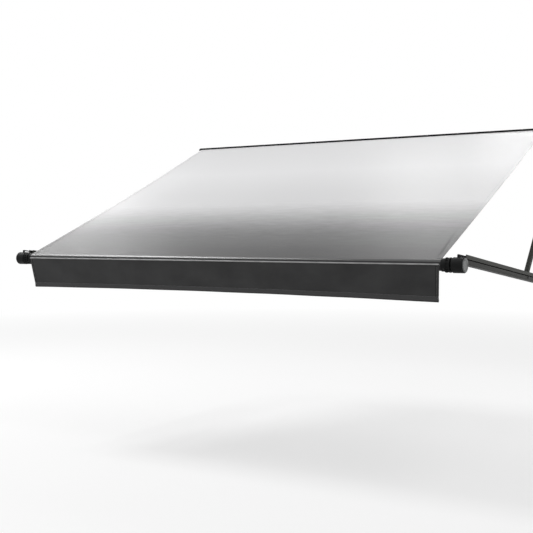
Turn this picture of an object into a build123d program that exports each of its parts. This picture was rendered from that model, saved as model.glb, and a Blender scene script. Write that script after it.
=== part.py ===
# Roll out awning for the side wall of a caravan.
# The wall is the plane y = 0, the awning reaches out to -Y, +X runs along the wall to the
# right-hand end and +Z is up. The origin is on the wall behind the bead groove of the rail.
from build123d import *
from math import asin, atan2, cos, degrees, hypot, radians, sin
import os

os.makedirs("parts", exist_ok=True)

# Overall layout of the open awning
canopy_width = 3700.0
projection = 2505.0        # wall face to roller axis
drop = 1130.0              # bead groove down to roller axis
arm_slope = 6.34           # degrees that the main arm rises from wall to roller
canopy_sag = 14.0
cloth = 1.2                # thickness of canopy and valance
running_gap = 0.3          # side gap between pieces that turn past each other
bush_gap = 0.05            # radial clearance of a pin or shaft in its bush
fit_gap = 0.1              # clearance of a plug in its tube
cut_over = 2.0             # how far a cutter runs past a face

# Wall rail, which grips the beaded edge of the canopy
rail_overhang = 25.0
rail_base = 3.0
rail_up = 17.0
rail_down = 9.0
groove_radius = 5.4
groove_wall = 2.4
groove_mouth = 3.4
bead_radius = 5.0
rail_hole_radius = 2.2
rail_hole_up = 12.0
rail_hole_pitch = 300.0    # an even number of holes, half a pitch each side of the middle
rail_cap_thickness = 3.0

# Roller tube with three bead grooves
tube_radius = 40.0
tube_wall = 1.8
slot_boss_radius = 6.2
slot_bore_radius = 4.2
slot_mouth = 2.6
slot_depth = 6.6           # tube surface down to the centre of a bead groove
tube_bead_radius = 3.9
canopy_slot_angle = 150.0  # degrees about +X, measured from +Y over the top
valance_slot_angle = 180.0
spare_slot_angle = 235.0

# Caps that close the roller and carry its shafts
cap_gap = 2.0              # canopy edge to cap
cap_length = 60.0
cap_overlap = 40.0         # how far the tube reaches into the cap
cap_core_radius = 44.0
cap_flange_radius = 50.5
cap_flange = 7.0
cap_collar = 26.0          # plain sleeve before the first flange
cap_web = 12.0
cap_ribs = 16
cap_rib_width = 5.0
cap_rib_radius = 48.5
cap_hub_radius = 17.0
cap_screws = 2
cap_screw_radius = 2.4
cap_screw_head_radius = 4.4
cap_screw_head = 2.4
cap_screw_place = 1.5      # rib pitches about +X from +Y, midway between two ribs
shaft_radius = 8.0

# Heads at the roller ends
head_gap = 9.0
head_length = 82.0
head_radius = 52.0
head_wall = 3.5
head_chamfer = 8.0
head_seam_place = 10.0     # turned groove round the drum, from its open end
head_seam = 2.0
head_seam_depth = 1.2
bearing_outer_radius = 14.0
bearing_width = 9.0
cover_radius = 46.0
cover_thickness = 6.0      # of the part that sits in the drum
cover_proud = 8.0          # of the cap that stands out of the drum
cover_edge = 1.5
cover_pocket = 10.0        # hollow behind the face
cover_pocket_radius = 33.0
cover_dish_radius = 32.0
cover_dish_depth = 1.6
cover_screws = 3
cover_screw_ring_radius = 40.5
cover_screw_radius = 2.0
cover_screw_head_radius = 3.8
cover_screw_head = 1.8
cover_boss_radius = 5.0
cover_boss_length = 14.0
gearbox_radius = 34.0
gearbox_length = 24.0
motor_radius = 27.0
motor_length = 36.0
shaft_reach = 14.0         # how far the drive shaft enters the gearbox

# Main arm, a channel that is open on top so that strut and link fold into it
arm_depth = 68.0
arm_width = 48.0
arm_side = 4.0
arm_floor = 3.0
arm_groove_up = 2.0
arm_groove = 8.0
arm_groove_depth = 2.4
arm_start = 75.0           # along the arm, from below the roller axis
arm_tail = 24.0            # arm end beyond the elbow pin
axis_below_arm = 43.3      # roller axis below the arm centre line

# Folding linkage: wall pivots below the bead groove, joints across the main arm from its
# centre line, and how the arm lies on the wall
strut_pivot_below = 287.0
link_pivot_below = 1246.0
knee_offset = -12.0
elbow_offset = 20.0
fold_gap = 50.0            # arm centre line to wall when folded
fold_drop = 125.0          # roller end of the arm below the rail when folded

# Strut from the top bracket to the knee of the main arm
strut_width = 34.0
strut_depth = 34.0
strut_wall = 2.5
bar_groove = 8.0           # shallow groove down each side of strut and link
bar_groove_depth = 1.2
eye_width = 24.0
knee_eye_radius = 13.0
top_eye_radius = 12.0
strut_set_back = 38.0      # pivot to the end of the tube
plug_length = 45.0
bush_wall = 2.0
strut_pin_radius = 5.0

# Link from the bottom bracket to the elbow
link_width = 30.0
link_depth = 26.0
link_wall = 2.5
elbow_eye_width = 34.0
link_eye_radius = 12.0
link_set_back = 36.0
link_pin_radius = 5.0
elbow_pin_radius = 6.0
elbow_head_radius = 10.0
elbow_head = 4.0
knee_bolt_radius = 6.0
knee_head_radius = 9.0
knee_head = 5.0

# Wall channels and pivot brackets
channel_base = 3.0
channel_flange = 22.0
channel_thickness = 3.0
channel_gap = 4.0          # arm side to channel flange when folded
channel_overrun = 88.0     # channel end beyond each wall pivot
bracket_base = 5.0
bracket_margin = 1.0       # bracket edge to channel flange
bracket_half_height = 60.0
bracket_hole_up = 45.0
bracket_hole_radius = 3.3
ear_thickness = 4.0
ear_root_half = 30.0
ear_tip_radius = 12.0
pin_head = 2.0
pin_head_radius = 8.0

# Casting that holds a head on the arm
neck_plug = 48.0
neck_width = 36.0
neck_top = 0.0             # across the arm, top of the neck behind the head
tongue_reach = 12.0        # past the roller axis
tongue_width = 16.0
tongue_thickness = 8.0
tongue_below_top = 8.0
lug_length = 9.0
clamp_screw_radius = 2.5
clamp_screw_head_radius = 4.5
clamp_screw_head = 3.0
clamp_screw_bite = 5.0     # into the wall of the head

# Valance
valance_height = 242.0
valance_clear = 1.6        # tube surface to the back of the cloth
valance_waves = 10
valance_wave = 6.0
valance_taper = 21.0       # each side edge runs in towards the bottom
valance_lean = 48.0        # lower edge towards the wall, as the cloth leaves the round of the tube

# Places that follow from the sizes above
slope = radians(arm_slope)
half_canopy = canopy_width / 2
cap_start = half_canopy + cap_gap
cap_end = cap_start + cap_length
head_start = cap_end + head_gap
head_end = head_start + head_length
cover_end = head_end + cover_proud
arm_x = (head_start + head_end) / 2
sides = (("left", -1), ("right", 1))
roller_y = -projection
roller_z = -drop
arm_out = (-cos(slope), sin(slope))
arm_up = (sin(slope), cos(slope))
arm_y = roller_y + axis_below_arm * arm_up[0]
arm_z = roller_z + axis_below_arm * arm_up[1]
arm_inner = arm_width - 2 * arm_side
cap_screw_angle = cap_screw_place * 360 / cap_ribs


def open_place(along, across):
    """y and z of a point of the main arm when the awning is open."""
    return (
        arm_y - along * arm_out[0] + across * arm_up[0],
        arm_z - along * arm_out[1] + across * arm_up[1],
    )


def joint_along(pivot_below, across):
    """Place along the arm of the joint that its wall pivot reaches both open and folded."""
    start_y, start_z = open_place(0, across)
    from_pivot_y = start_y - (across - fold_gap)
    from_pivot_z = start_z + pivot_below
    folded_start = fold_drop - pivot_below
    toward_roller = from_pivot_y * arm_out[0] + from_pivot_z * arm_out[1]
    from_pivot = from_pivot_y**2 + from_pivot_z**2
    return (from_pivot - folded_start**2) / (2 * (folded_start + toward_roller))


knee_along = joint_along(strut_pivot_below, knee_offset)
elbow_along = joint_along(link_pivot_below, elbow_offset)
arm_end = elbow_along + arm_tail
knee_y, knee_z = open_place(knee_along, knee_offset)
elbow_y, elbow_z = open_place(elbow_along, elbow_offset)
strut_y, strut_z = knee_offset - fold_gap, -strut_pivot_below
link_y, link_z = elbow_offset - fold_gap, -link_pivot_below
strut_length = hypot(knee_y - strut_y, knee_z - strut_z)
link_length = hypot(elbow_y - link_y, elbow_z - link_z)
strut_fall = degrees(atan2(strut_z - knee_z, strut_y - knee_y))
link_fall = degrees(atan2(link_z - elbow_z, link_y - elbow_y))
print("strut pivot", strut_y, strut_z, "length", strut_length, "turns", 90 - strut_fall)
print("link pivot", link_y, link_z, "length", link_length, "turns", 90 - link_fall)
print("knee", knee_y, knee_z, "elbow", elbow_y, elbow_z, "arm turns", arm_slope - 90)
print("along the arm: knee", knee_along, "elbow", elbow_along)
print("roller axis", roller_y, roller_z, "arm planes at x", arm_x)


def side_plane(x):
    """Plane across the wall: its x is +Y and its y is +Z."""
    return Plane(origin=(x, 0, 0), x_dir=(0, 1, 0), z_dir=(1, 0, 0))


def bar_plane(x, start_y, start_z, end_y, end_z):
    """Plane of a bar seen from the side: its x runs from the start to the end."""
    return Plane(
        origin=(x, start_y, start_z),
        x_dir=(0, end_y - start_y, end_z - start_z),
        z_dir=(1, 0, 0),
    )


def arm_plane(x):
    """Side plane of the main arm: its x runs to the wall and its y is the arm's top side."""
    return Plane(origin=(x, arm_y, arm_z), x_dir=(0, -arm_out[0], -arm_out[1]), z_dir=(1, 0, 0))


def axis_plane(x, sign=1):
    """Plane across the roller axis, facing +X or -X."""
    return Plane(origin=(x, roller_y, roller_z), x_dir=(0, 1, 0), z_dir=(sign, 0, 0))


def save(piece, name):
    """Labels a finished piece and writes its file."""
    piece.part.label = name
    export_step(piece.part, "parts/" + name + ".step")


# Rail: a flat base on the wall with a round groove whose mouth faces down the canopy
canopy_fall = degrees(atan2(drop, projection)) - degrees(
    asin((tube_radius + cloth) / hypot(drop, projection))
)
groove_outer = groove_radius + groove_wall
groove_y = -(rail_base + groove_outer - groove_wall / 2)
rail_length = canopy_width + 2 * rail_overhang
rail_holes = 2 * int(rail_length / 2 / rail_hole_pitch)

with BuildPart() as awning_rail:
    with BuildSketch(side_plane(0)):
        with Locations((-rail_base / 2, (rail_up - rail_down) / 2)):
            Rectangle(rail_base, rail_up + rail_down)
        with Locations((groove_y, 0)):
            Circle(groove_outer)
            Circle(groove_radius, mode=Mode.SUBTRACT)
            with Locations(Rotation(0, 0, 180 + canopy_fall)):
                Rectangle(
                    groove_outer + cut_over,
                    groove_mouth,
                    align=(Align.MIN, Align.CENTER),
                    mode=Mode.SUBTRACT,
                )
    extrude(amount=rail_length / 2, both=True)
    with Locations(Plane.XZ.offset(rail_base)):
        with Locations((0, rail_hole_up)):
            with GridLocations(rail_hole_pitch, 0, rail_holes, 1):
                Hole(rail_hole_radius)
save(awning_rail, "awning_rail")

with BuildPart() as rail_end_caps:
    for _, sign in sides:
        with BuildSketch(side_plane(sign * rail_length / 2)):
            with Locations((-rail_base / 2, (rail_up - rail_down) / 2)):
                Rectangle(rail_base, rail_up + rail_down)
            with Locations((groove_y, 0)):
                Circle(groove_outer)
        extrude(amount=sign * rail_cap_thickness)
save(rail_end_caps, "rail_end_caps")

with BuildPart() as canopy_rail_bead:
    with BuildSketch(side_plane(0)):
        with Locations((groove_y, 0)):
            Circle(bead_radius)
    extrude(amount=half_canopy, both=True)
save(canopy_rail_bead, "canopy_rail_bead")

# Canopy: one stretched sheet with a slight sag, from the rail to the top of the roller
fall = radians(canopy_fall)
down_canopy = (-cos(fall), -sin(fall))
over_canopy = (-sin(fall), cos(fall))
canopy_from = (
    groove_y + bead_radius * down_canopy[0],
    bead_radius * down_canopy[1],
)
canopy_rest = tube_radius + cloth / 2 + bush_gap
canopy_to = (
    roller_y + canopy_rest * over_canopy[0] - running_gap * down_canopy[0],
    roller_z + canopy_rest * over_canopy[1] - running_gap * down_canopy[1],
)


def canopy_point(share, lift):
    """A point of the sheet's section: its share of the way down, and its lift off the middle."""
    sag = 4 * canopy_sag * share * (1 - share)
    return (
        canopy_from[0] + share * (canopy_to[0] - canopy_from[0]) + (lift - sag) * over_canopy[0],
        canopy_from[1] + share * (canopy_to[1] - canopy_from[1]) + (lift - sag) * over_canopy[1],
    )


with BuildPart() as canopy:
    with BuildSketch(side_plane(0)):
        with BuildLine():
            top = ThreePointArc(*[canopy_point(share, cloth / 2) for share in (0, 1 / 2, 1)])
            below = ThreePointArc(*[canopy_point(share, -cloth / 2) for share in (1, 1 / 2, 0)])
            Line(top @ 1, below @ 0)
            Line(below @ 1, top @ 0)
        make_face()
    extrude(amount=half_canopy, both=True)
save(canopy, "canopy")

# Wall channels and the two brackets in each
channel_inner = arm_width + 2 * channel_gap
channel_outer = channel_inner + 2 * channel_thickness
channel_top = strut_pivot_below - channel_overrun
channel_bottom = link_pivot_below + channel_overrun
strut_pivot = (strut_y, strut_z)
link_pivot = (link_y, link_z)

for side, sign in sides:
    with BuildPart() as wall_channel:
        with BuildSketch(Plane.XY.offset(-channel_bottom)):
            with Locations((sign * arm_x, 0)):
                Rectangle(channel_outer, channel_flange, align=(Align.CENTER, Align.MAX))
                with Locations((0, -channel_base)):
                    Rectangle(
                        channel_inner,
                        channel_flange,
                        align=(Align.CENTER, Align.MAX),
                        mode=Mode.SUBTRACT,
                    )
        extrude(amount=channel_bottom - channel_top)
        for pivot in (strut_pivot, link_pivot):
            with Locations(Plane.XZ.offset(channel_base)):
                with Locations((sign * arm_x, pivot[1])):
                    with GridLocations(0, 2 * bracket_hole_up, 1, 2):
                        Hole(bracket_hole_radius)
    save(wall_channel, side + "_wall_channel")

ear_inner = eye_width / 2 + running_gap
ear_outer = ear_inner + ear_thickness


def build_bracket(x, pivot, pin_radius):
    """Bracket on the channel floor: a plate with two ears that carry a pivot pin."""
    plate_y = -channel_base - bracket_base
    with BuildPart() as bracket:
        with BuildSketch(Plane.XZ.offset(channel_base)):
            with Locations((x, pivot[1])):
                Rectangle(channel_inner - 2 * bracket_margin, 2 * bracket_half_height)
        extrude(amount=bracket_base)
        with BuildSketch(side_plane(x)):
            with BuildLine():
                Polyline(
                    (pivot[0], pivot[1] - ear_tip_radius),
                    (plate_y, pivot[1] - ear_root_half),
                    (plate_y, pivot[1] + ear_root_half),
                    (pivot[0], pivot[1] + ear_tip_radius),
                )
                ThreePointArc(
                    (pivot[0], pivot[1] + ear_tip_radius),
                    (pivot[0] - ear_tip_radius, pivot[1]),
                    (pivot[0], pivot[1] - ear_tip_radius),
                )
            make_face()
        extrude(amount=ear_outer, both=True)
        with BuildSketch(side_plane(x)):
            with Locations((plate_y, pivot[1])):
                Rectangle(
                    ear_tip_radius - pivot[0],
                    2 * bracket_half_height,
                    align=(Align.MAX, Align.CENTER),
                )
        extrude(amount=ear_inner, both=True, mode=Mode.SUBTRACT)
        with BuildSketch(side_plane(x)):
            with Locations(pivot):
                Circle(pin_radius)
        extrude(amount=channel_outer, both=True, mode=Mode.SUBTRACT)
        with Locations(Plane.XZ.offset(channel_base + bracket_base)):
            with Locations((x, pivot[1])):
                with GridLocations(0, 2 * bracket_hole_up, 1, 2):
                    Hole(bracket_hole_radius)
    return bracket


for side, sign in sides:
    top_bracket = build_bracket(sign * arm_x, strut_pivot, strut_pin_radius)
    save(top_bracket, side + "_top_bracket")
    bottom_bracket = build_bracket(sign * arm_x, link_pivot, link_pin_radius)
    save(bottom_bracket, side + "_bottom_bracket")

for name, pivot, pin_radius in (
    ("strut_pivot_pins", strut_pivot, strut_pin_radius),
    ("link_pivot_pins", link_pivot, link_pin_radius),
):
    with BuildPart() as pins:
        for _, sign in sides:
            with BuildSketch(side_plane(sign * arm_x)):
                with Locations(pivot):
                    Circle(pin_radius)
            extrude(amount=ear_outer + pin_head, both=True)
            for face in (-1, 1):
                with BuildSketch(side_plane(sign * arm_x + face * ear_outer)):
                    with Locations(pivot):
                        Circle(pin_head_radius)
                extrude(amount=face * pin_head)
    save(pins, name)


# Struts and links are square tubes with a cast eye plugged into each end
def build_tube(plane, start, end, width, depth, wall, rib, rib_depth):
    """Square tube along the plane's x, with a shallow groove down each of its four sides."""
    with BuildPart() as tube:
        with BuildSketch(plane):
            with Locations(((start + end) / 2, 0)):
                Rectangle(end - start, depth)
        extrude(amount=width / 2, both=True)
        fillet(tube.edges().filter_by(Axis(plane.origin, plane.x_dir)), wall)
        with BuildSketch(plane):
            with Locations(((start + end) / 2, 0)):
                Rectangle(end - start, depth - 2 * wall)
        extrude(amount=width / 2 - wall, both=True, mode=Mode.SUBTRACT)
        for face in (-1, 1):
            with BuildSketch(plane.offset(face * width / 2)):
                with Locations(((start + end) / 2, 0)):
                    Rectangle(end - start, rib)
            extrude(amount=-face * rib_depth, mode=Mode.SUBTRACT)
    return tube


def build_eye(plane, centre, mouth, toward, eye_half, radius, bore, plug_width, plug_depth):
    """Cast eye: a boss at the pivot, a neck, and a plug that fills the tube from its mouth."""
    with BuildPart() as eye:
        with BuildSketch(plane):
            with Locations((centre, 0)):
                Circle(radius)
            with Locations(((centre + mouth) / 2, 0)):
                Rectangle(abs(mouth - centre), 2 * radius - 2 * bush_wall)
        extrude(amount=eye_half, both=True)
        with BuildSketch(plane):
            with Locations((mouth + toward * plug_length / 2, 0)):
                Rectangle(plug_length, plug_depth)
        extrude(amount=plug_width / 2, both=True)
        with BuildSketch(plane):
            with Locations((centre, 0)):
                Circle(bore)
        extrude(amount=arm_width, both=True, mode=Mode.SUBTRACT)
    return eye


strut_bore = strut_width - 2 * strut_wall - 2 * fit_gap
strut_bore_depth = strut_depth - 2 * strut_wall - 2 * fit_gap
link_bore = link_width - 2 * link_wall - 2 * fit_gap
link_bore_depth = link_depth - 2 * link_wall - 2 * fit_gap

for side, sign in sides:
    plane = bar_plane(sign * arm_x, strut_y, strut_z, knee_y, knee_z)
    tube_end = strut_length - strut_set_back
    strut = build_tube(
        plane, strut_set_back, tube_end, strut_width, strut_depth, strut_wall, bar_groove, bar_groove_depth
    )
    save(strut, side + "_strut")
    top_eye = build_eye(
        plane,
        0,
        strut_set_back,
        1,
        eye_width / 2,
        top_eye_radius,
        strut_pin_radius + bush_wall,
        strut_bore,
        strut_bore_depth,
    )
    save(top_eye, side + "_strut_top_eye")
    knee_eye = build_eye(
        plane,
        strut_length,
        tube_end,
        -1,
        strut_width / 2,
        knee_eye_radius,
        knee_bolt_radius,
        strut_bore,
        strut_bore_depth,
    )
    save(knee_eye, side + "_strut_knee_eye")

for side, sign in sides:
    plane = bar_plane(sign * arm_x, link_y, link_z, elbow_y, elbow_z)
    tube_end = link_length - link_set_back
    link = build_tube(
        plane, link_set_back, tube_end, link_width, link_depth, link_wall, bar_groove, bar_groove_depth
    )
    save(link, side + "_lower_link")
    wall_eye = build_eye(
        plane,
        0,
        link_set_back,
        1,
        eye_width / 2,
        link_eye_radius,
        link_pin_radius + bush_wall,
        link_bore,
        link_bore_depth,
    )
    save(wall_eye, side + "_link_wall_eye")
    elbow_eye = build_eye(
        plane,
        link_length,
        tube_end,
        -1,
        elbow_eye_width / 2,
        link_eye_radius,
        elbow_pin_radius + bush_wall,
        link_bore,
        link_bore_depth,
    )
    save(elbow_eye, side + "_link_elbow_eye")


# Plain bushes pressed into the eyes
strut_bush = (strut_pivot, strut_pin_radius, eye_width / 2)
link_bush = (link_pivot, link_pin_radius, eye_width / 2)
elbow_bush = ((elbow_y, elbow_z), elbow_pin_radius, elbow_eye_width / 2)
for name, bushes in (("strut_bushes", [strut_bush]), ("link_bushes", [link_bush, elbow_bush])):
    with BuildPart() as bush_set:
        for _, sign in sides:
            for place, pin_radius, half_width in bushes:
                with BuildSketch(side_plane(sign * arm_x)):
                    with Locations(place):
                        Circle(pin_radius + bush_wall)
                        Circle(pin_radius + bush_gap, mode=Mode.SUBTRACT)
                extrude(amount=half_width, both=True)
    save(bush_set, name)

# Main arms: an extruded channel, open on top, with a groove along each outer side
for side, sign in sides:
    plane = arm_plane(sign * arm_x)
    arm_middle = (arm_start + arm_end) / 2
    arm_length = arm_end - arm_start
    with BuildPart() as main_arm:
        with BuildSketch(plane):
            with Locations((arm_middle, 0)):
                Rectangle(arm_length, arm_depth)
        extrude(amount=arm_width / 2, both=True)
        fillet(main_arm.edges().filter_by(Axis(plane.origin, plane.x_dir)), arm_floor / 2)
        with BuildSketch(plane):
            with Locations((arm_middle, arm_floor)):
                Rectangle(arm_length, arm_depth)
        extrude(amount=arm_inner / 2, both=True, mode=Mode.SUBTRACT)
        for face in (-1, 1):
            with BuildSketch(plane.offset(face * arm_width / 2)):
                with Locations((arm_middle, arm_groove_up)):
                    Rectangle(arm_length, arm_groove)
            extrude(amount=-face * arm_groove_depth, mode=Mode.SUBTRACT)
        for along, across, radius in (
            (knee_along, knee_offset, knee_bolt_radius),
            (elbow_along, elbow_offset, elbow_pin_radius),
        ):
            with BuildSketch(plane):
                with Locations((along, across)):
                    Circle(radius)
            extrude(amount=arm_width, both=True, mode=Mode.SUBTRACT)
    save(main_arm, side + "_main_arm")

# Knee bolts stop just short of the strut, because this pivot is left open in the motion model
with BuildPart() as knee_bolts:
    for _, sign in sides:
        for face in (-1, 1):
            outer = sign * arm_x + face * arm_width / 2
            with BuildSketch(arm_plane(outer)):
                with Locations((knee_along, knee_offset)):
                    Circle(knee_bolt_radius)
            extrude(amount=-face * (arm_width / 2 - strut_width / 2 - running_gap))
            with BuildSketch(arm_plane(outer)):
                with Locations((knee_along, knee_offset)):
                    Circle(knee_head_radius)
            extrude(amount=face * knee_head)
save(knee_bolts, "knee_bolts")

with BuildPart() as elbow_pins:
    for _, sign in sides:
        with BuildSketch(arm_plane(sign * arm_x)):
            with Locations((elbow_along, elbow_offset)):
                Circle(elbow_pin_radius)
        extrude(amount=arm_width / 2 + elbow_head, both=True)
        for face in (-1, 1):
            with BuildSketch(arm_plane(sign * arm_x + face * arm_width / 2)):
                with Locations((elbow_along, elbow_offset)):
                    Circle(elbow_head_radius)
            extrude(amount=face * elbow_head)
save(elbow_pins, "elbow_pins")

elbow_washer = (arm_inner - elbow_eye_width) / 2 - running_gap
with BuildPart() as elbow_washers:
    for _, sign in sides:
        for face in (-1, 1):
            with BuildSketch(arm_plane(sign * arm_x + face * arm_inner / 2)):
                with Locations((elbow_along, elbow_offset)):
                    Circle(elbow_head_radius)
                    Circle(elbow_pin_radius, mode=Mode.SUBTRACT)
            extrude(amount=-face * elbow_washer)
save(elbow_washers, "elbow_washers")

# Head brackets: a casting plugged into the arm, with a neck behind the head and a tongue
# over it that ends in a lug
plug_half = arm_inner / 2 - fit_gap
neck_bottom = -arm_depth / 2 + arm_floor + fit_gap
tongue_top = arm_depth / 2 - tongue_below_top
seat_radius = head_radius + fit_gap
lug_middle = lug_length / 2 - tongue_reach
clamp_depth = (
    tongue_top + axis_below_arm - (head_radius**2 - lug_middle**2) ** 0.5 + clamp_screw_bite
)


def clamp_plane(x):
    """Plane on top of the lug, facing up from the arm, centred on the clamp screw."""
    top_y, top_z = open_place(lug_middle, tongue_top)
    return Plane(origin=(x, top_y, top_z), x_dir=(1, 0, 0), z_dir=(0, arm_up[0], arm_up[1]))


for side, sign in sides:
    plane = arm_plane(sign * arm_x)
    with BuildPart() as head_bracket:
        with BuildSketch(plane):
            with Locations((arm_start, neck_bottom)):
                Rectangle(neck_plug, tongue_top - neck_bottom, align=(Align.MIN, Align.MIN))
        extrude(amount=plug_half, both=True)
        with BuildSketch(plane):
            with Locations((0, neck_bottom)):
                Rectangle(arm_start, neck_top - neck_bottom, align=(Align.MIN, Align.MIN))
            with Locations((0, -axis_below_arm)):
                Circle(seat_radius, mode=Mode.SUBTRACT)
        extrude(amount=neck_width / 2, both=True)
        with BuildSketch(plane):
            with Locations((-tongue_reach, tongue_top)):
                Rectangle(
                    arm_start + tongue_reach, tongue_thickness, align=(Align.MIN, Align.MAX)
                )
                Rectangle(lug_length, tongue_top + axis_below_arm, align=(Align.MIN, Align.MAX))
            with Locations((0, -axis_below_arm)):
                Circle(seat_radius, mode=Mode.SUBTRACT)
        extrude(amount=tongue_width / 2, both=True)
        with BuildSketch(clamp_plane(sign * arm_x)):
            Circle(clamp_screw_radius)
        extrude(amount=-head_radius, mode=Mode.SUBTRACT)
    save(head_bracket, side + "_head_bracket")

# Head housings: a round cup, closed towards the roller, with a bearing in its floor
for side, sign in sides:
    name = "drive_head_housing" if sign > 0 else "idler_head_housing"
    with BuildPart() as head_housing:
        with BuildSketch(axis_plane(sign * head_start, sign)):
            Circle(head_radius)
        extrude(amount=head_length)
        chamfer(
            head_housing.edges().filter_by(GeomType.CIRCLE).sort_by(Axis.X)[0 if sign > 0 else -1],
            head_chamfer,
        )
        with BuildSketch(axis_plane(sign * (head_start + bearing_width), sign)):
            Circle(head_radius - head_wall - head_chamfer / 2)
        extrude(amount=head_length, mode=Mode.SUBTRACT)
        with BuildSketch(axis_plane(sign * (head_end - cover_thickness), sign)):
            Circle(cover_radius + fit_gap)
        extrude(amount=head_length, mode=Mode.SUBTRACT)
        with BuildSketch(axis_plane(sign * (head_end - head_seam_place), -sign)):
            Circle(head_radius + cut_over)
            Circle(head_radius - head_seam_depth, mode=Mode.SUBTRACT)
        extrude(amount=head_seam, mode=Mode.SUBTRACT)
        with BuildSketch(axis_plane(sign * head_start, sign)):
            Circle(bearing_outer_radius)
        extrude(amount=bearing_width, mode=Mode.SUBTRACT)
        with BuildSketch(axis_plane(sign * (head_end - cover_thickness), -sign)):
            with PolarLocations(cover_screw_ring_radius, cover_screws):
                Circle(cover_boss_radius)
        extrude(amount=cover_boss_length)
        with BuildSketch(axis_plane(sign * (head_end - cover_thickness), -sign)):
            with PolarLocations(cover_screw_ring_radius, cover_screws):
                Circle(cover_screw_radius)
        extrude(amount=cover_boss_length, mode=Mode.SUBTRACT)
        with BuildSketch(clamp_plane(sign * arm_x)):
            Circle(clamp_screw_radius)
        extrude(amount=-clamp_depth, mode=Mode.SUBTRACT)
    save(head_housing, name)

    with BuildPart() as bearing:
        with BuildSketch(axis_plane(sign * head_start, sign)):
            Circle(bearing_outer_radius)
            Circle(shaft_radius + bush_gap, mode=Mode.SUBTRACT)
        extrude(amount=bearing_width)
    save(bearing, "drive_bearing" if sign > 0 else "idler_bearing")

    with BuildPart() as head_cover:
        with BuildSketch(axis_plane(sign * (head_end - cover_thickness), sign)):
            Circle(cover_radius)
            with PolarLocations(cover_screw_ring_radius, cover_screws):
                Circle(cover_screw_radius, mode=Mode.SUBTRACT)
        extrude(amount=cover_thickness + cover_proud)
        fillet(
            head_cover.edges()
            .filter_by(GeomType.CIRCLE)
            .filter_by(lambda edge: edge.radius > cover_screw_ring_radius)
            .sort_by(Axis.X)[-1 if sign > 0 else 0],
            cover_edge,
        )
        with BuildSketch(axis_plane(sign * (cover_end - cover_dish_depth), sign)):
            Circle(cover_dish_radius)
        extrude(amount=cover_thickness, mode=Mode.SUBTRACT)
        with BuildSketch(axis_plane(sign * (head_end - cover_thickness), sign)):
            Circle(cover_pocket_radius)
        extrude(amount=cover_pocket, mode=Mode.SUBTRACT)
    save(head_cover, "drive_head_cover" if sign > 0 else "idler_head_cover")

with BuildPart() as head_cover_screws:
    for _, sign in sides:
        with BuildSketch(axis_plane(sign * cover_end, sign)):
            with PolarLocations(cover_screw_ring_radius, cover_screws):
                Circle(cover_screw_head_radius)
        extrude(amount=cover_screw_head)
        with BuildSketch(axis_plane(sign * cover_end, -sign)):
            with PolarLocations(cover_screw_ring_radius, cover_screws):
                Circle(cover_screw_radius)
        extrude(amount=cover_proud + cover_thickness + cover_boss_length / 2)
save(head_cover_screws, "head_cover_screws")

# Drive: gear motor inside the right-hand head, and the shafts that carry the roller
gearbox_start = head_start + bearing_width
with BuildPart() as drive_gearbox:
    with BuildSketch(axis_plane(gearbox_start)):
        Circle(gearbox_radius)
    extrude(amount=gearbox_length)
    with BuildSketch(axis_plane(gearbox_start)):
        Circle(shaft_radius + bush_gap)
    extrude(amount=shaft_reach + running_gap, mode=Mode.SUBTRACT)
save(drive_gearbox, "drive_gearbox")

with BuildPart() as drive_motor:
    with BuildSketch(axis_plane(gearbox_start + gearbox_length)):
        Circle(motor_radius)
    extrude(amount=motor_length)
    fillet(drive_motor.edges().filter_by(GeomType.CIRCLE).sort_by(Axis.X)[-1], bush_wall)
save(drive_motor, "drive_motor")

shaft_root = cap_end - cap_length / 2
for name, sign in (("drive_shaft", 1), ("idler_shaft", -1)):
    with BuildPart() as shaft:
        with BuildSketch(axis_plane(sign * shaft_root, sign)):
            Circle(shaft_radius)
        extrude(amount=gearbox_start + shaft_reach - shaft_root)
    save(shaft, name)


def cap_screw_seats(sign):
    """Planes on the sleeve of one end cap, midway between ribs, where its screws sit."""
    seats = []
    for step in range(cap_screws):
        angle = radians(cap_screw_angle + step * 360 / cap_screws)
        away = Vector(0, cos(angle), sin(angle))
        foot = Vector(sign * (cap_start + cap_overlap / 2), roller_y, roller_z)
        seats.append(Plane(origin=foot + away * cap_core_radius, z_dir=away))
    return seats


# Roller tube: thin extrusion with three round bead grooves sunk into its wall
tube_end = cap_start + cap_overlap
slot_ring = tube_radius - slot_depth
slot_angles = (canopy_slot_angle, valance_slot_angle, spare_slot_angle)
with BuildPart() as roller_tube:
    with BuildSketch(axis_plane(0)):
        Circle(tube_radius)
        Circle(tube_radius - tube_wall, mode=Mode.SUBTRACT)
        for angle in slot_angles:
            with PolarLocations(slot_ring, 1, start_angle=angle):
                Circle(slot_boss_radius)
                Circle(slot_bore_radius, mode=Mode.SUBTRACT)
                Rectangle(
                    slot_depth + cut_over,
                    slot_mouth,
                    align=(Align.MIN, Align.CENTER),
                    mode=Mode.SUBTRACT,
                )
    extrude(amount=tube_end, both=True)
    for seat in cap_screw_seats(-1) + cap_screw_seats(1):
        with BuildSketch(seat):
            Circle(cap_screw_radius)
        extrude(amount=-tube_radius / 2, mode=Mode.SUBTRACT)
save(roller_tube, "roller_tube")

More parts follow.
